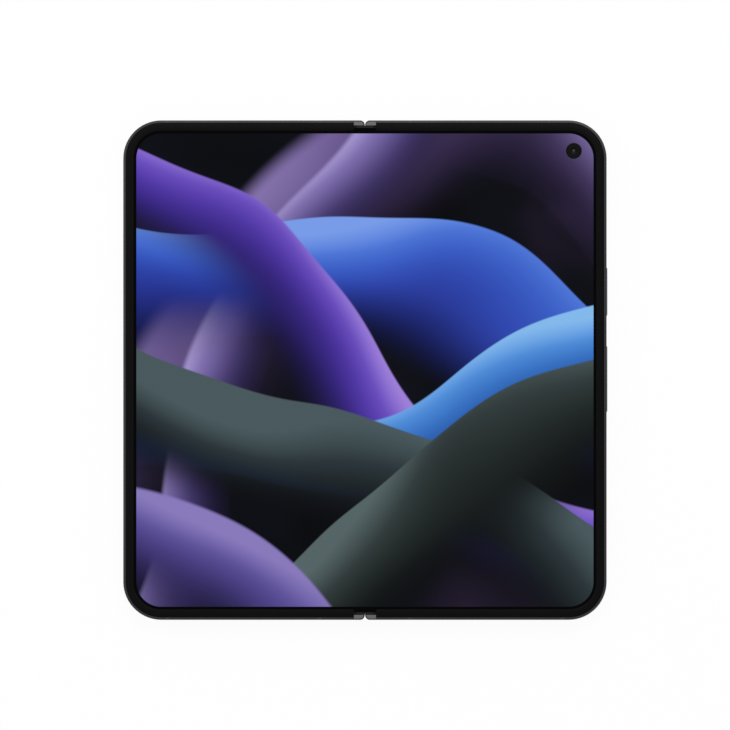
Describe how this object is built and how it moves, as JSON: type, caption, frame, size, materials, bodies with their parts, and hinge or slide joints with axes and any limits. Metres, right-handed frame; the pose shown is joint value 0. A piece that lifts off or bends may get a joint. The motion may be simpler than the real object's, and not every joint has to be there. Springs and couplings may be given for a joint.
{
  "type": "foldable smartphone",
  "caption": "Book-style folding phone lying open, with a wide inner screen, geared droplet hinge, camera island, side keys and a card tray.",
  "frame": {"origin": "middle of the hinge line, on the surface the open phone lies on", "axes": "+X to the right and +Y to the top of the open inner display, +Z out of the display"},
  "size_m": [0.1505, 0.1552, 0.0075],
  "materials": {
    "frame_metal": "anodised dark grey, fine satin",
    "hinge_metal": "bare light grey metal",
    "spine_metal": "anodised dark grey, satin",
    "mechanism_steel": "machined steel",
    "gear_steel": "hardened steel, oiled",
    "spring_steel": "sprung steel",
    "bezel_plastic": "matt black",
    "band_plastic": "dark grey, satin",
    "display_panel": "glossy flexible panel, lit picture",
    "back_glass_finish": "opaque dark glass, silky",
    "cover_glass_finish": "gloss black glass over a dark panel",
    "cover_panel": "dark panel",
    "window_glass": "gloss black glass",
    "rim_metal": "polished edge",
    "lens_black": "black barrel, coated lens",
    "lamp_diffuser": "pale diffuser",
    "battery_wrap": "black wrap",
    "board_green": "solder mask",
    "can_tin": "tin plated",
    "coil_copper": "copper winding",
    "module_black": "moulded black",
    "magnet_nickel": "nickel plated",
    "flex_film": "amber film",
    "socket_steel": "drawn steel"
  },
  "bodies": {
    "spine": {"spine_cover": "spine_metal", "spine_end_caps": "frame_metal", "hinge_bracket_top": "mechanism_steel", "hinge_bracket_bottom": "mechanism_steel", "bracket_screws": "mechanism_steel", "hinge_pins": "gear_steel", "friction_springs": "spring_steel", "display_fold": "display_panel", "bridge_flex": "flex_film"},
    "idler_right": {"idler_gear_right": "gear_steel"},
    "idler_left": {"idler_gear_left": "gear_steel"},
    "sync_right": {"sync_arm_right": "gear_steel"},
    "sync_left": {"sync_arm_left": "gear_steel"},
    "centre_plate": {"centre_plate": "mechanism_steel"},
    "right_half": {"right_frame": "frame_metal", "right_antenna_bands": "band_plastic", "right_corner_inserts": "hinge_metal", "right_bezel": "bezel_plastic", "display_right": "display_panel", "camera_island": "frame_metal", "camera_glass": "window_glass", "window_rims": "rim_metal", "rear_camera_wide": "lens_black", "rear_camera_ultrawide": "lens_black", "rear_camera_tele": "lens_black", "flash_lamp": "lamp_diffuser", "back_glass": "back_glass_finish", "side_key_flex": "flex_film", "usb_port": "socket_steel", "usb_tongue": "module_black", "loudspeaker": "module_black", "haptic_motor": "can_tin", "right_battery": "battery_wrap", "charging_coil": "coil_copper", "main_board": "board_green", "shield_cans": "can_tin", "front_camera": "lens_black", "right_swing_arms": "mechanism_steel", "right_arm_screws": "mechanism_steel", "right_magnets": "magnet_nickel"},
    "power_button": {"power_button": "frame_metal"},
    "volume_rocker": {"volume_rocker": "frame_metal"},
    "wing_right": {"wing_plate_right": "mechanism_steel"},
    "left_half": {"left_frame": "frame_metal", "left_antenna_bands": "band_plastic", "left_corner_inserts": "hinge_metal", "left_bezel": "bezel_plastic", "display_left": "display_panel", "cover_glass": "cover_glass_finish", "cover_display": "cover_panel", "cover_camera": "lens_black", "left_battery": "battery_wrap", "left_board": "board_green", "earpiece_speaker": "module_black", "sim_reader": "socket_steel", "left_swing_arms": "mechanism_steel", "left_arm_screws": "mechanism_steel", "left_magnets": "magnet_nickel"},
    "sim_tray": {"sim_tray": "frame_metal"},
    "wing_left": {"wing_plate_left": "mechanism_steel"}
  },
  "joints": [
    {"name": "fold_right", "type": "hinge", "parent": "spine", "child": "right_half", "pos_m": [0.0011, 0, 0.00655], "axis": [0, -1, 0], "range_deg": [0, 90], "deforming": ["display_fold", "bridge_flex"]},
    {"name": "fold_left", "type": "hinge", "parent": "spine", "child": "left_half", "pos_m": [-0.0011, 0, 0.00655], "axis": [0, 1, 0], "range_deg": [0, 90], "deforming": ["display_fold", "bridge_flex"]},
    {"name": "sync_arm_right_turn", "type": "hinge", "parent": "spine", "child": "sync_right", "pos_m": [0.00231, 0, 0.00538], "axis": [0, -1, 0], "range_deg": [0, 90]},
    {"name": "sync_arm_left_turn", "type": "hinge", "parent": "spine", "child": "sync_left", "pos_m": [-0.00231, 0, 0.00538], "axis": [0, 1, 0], "range_deg": [0, 90]},
    {"name": "idler_right_turn", "type": "hinge", "parent": "spine", "child": "idler_right", "pos_m": [0.00085, 0, 0.00485], "axis": [0, -1, 0], "range_deg": [-74.2, 0]},
    {"name": "idler_left_turn", "type": "hinge", "parent": "spine", "child": "idler_left", "pos_m": [-0.00085, 0, 0.00485], "axis": [0, -1, 0], "range_deg": [0, 74.2]},
    {"name": "centre_plate_drop", "type": "slide", "parent": "spine", "child": "centre_plate", "axis": [0, 0, -1], "range_m": [0, 0.0005]},
    {"name": "wing_right_tilt", "type": "hinge", "parent": "right_half", "child": "wing_right", "pos_m": [0.013, 0, 0.00633], "axis": [0, -1, 0], "range_deg": [0, 4.5]},
    {"name": "wing_left_tilt", "type": "hinge", "parent": "left_half", "child": "wing_left", "pos_m": [-0.013, 0, 0.00633], "axis": [0, 1, 0], "range_deg": [0, 4.5]},
    {"name": "power_press", "type": "slide", "parent": "right_half", "child": "power_button", "axis": [-1, 0, 0], "range_m": [0, 0.00025], "stiffness_N_per_m": 2000},
    {"name": "volume_rock", "type": "hinge", "parent": "right_half", "child": "volume_rocker", "pos_m": [0.07365, -0.0028, 0.00495], "axis": [0, 0, 1], "range_deg": [-1, 1], "stiffness_Nm_per_rad": 0.2},
    {"name": "sim_tray_slide", "type": "slide", "parent": "left_half", "child": "sim_tray", "axis": [0, -1, 0], "range_m": [0, 0.018]}
  ],
  "couplings": [
    {"joint": "fold_left", "follows": "fold_right", "ratio": 1},
    {"joint": "sync_arm_right_turn", "follows": "fold_right", "ratio": 1},
    {"joint": "sync_arm_left_turn", "follows": "fold_right", "ratio": 1},
    {"joint": "idler_right_turn", "follows": "fold_right", "ratio": -0.82353},
    {"joint": "idler_left_turn", "follows": "fold_right", "ratio": 0.82353},
    {"joint": "centre_plate_drop", "follows": "fold_right", "m_per_rad": 0.00031831},
    {"joint": "wing_right_tilt", "follows": "fold_right", "ratio": 0.05},
    {"joint": "wing_left_tilt", "follows": "fold_right", "ratio": 0.05}
  ]
}
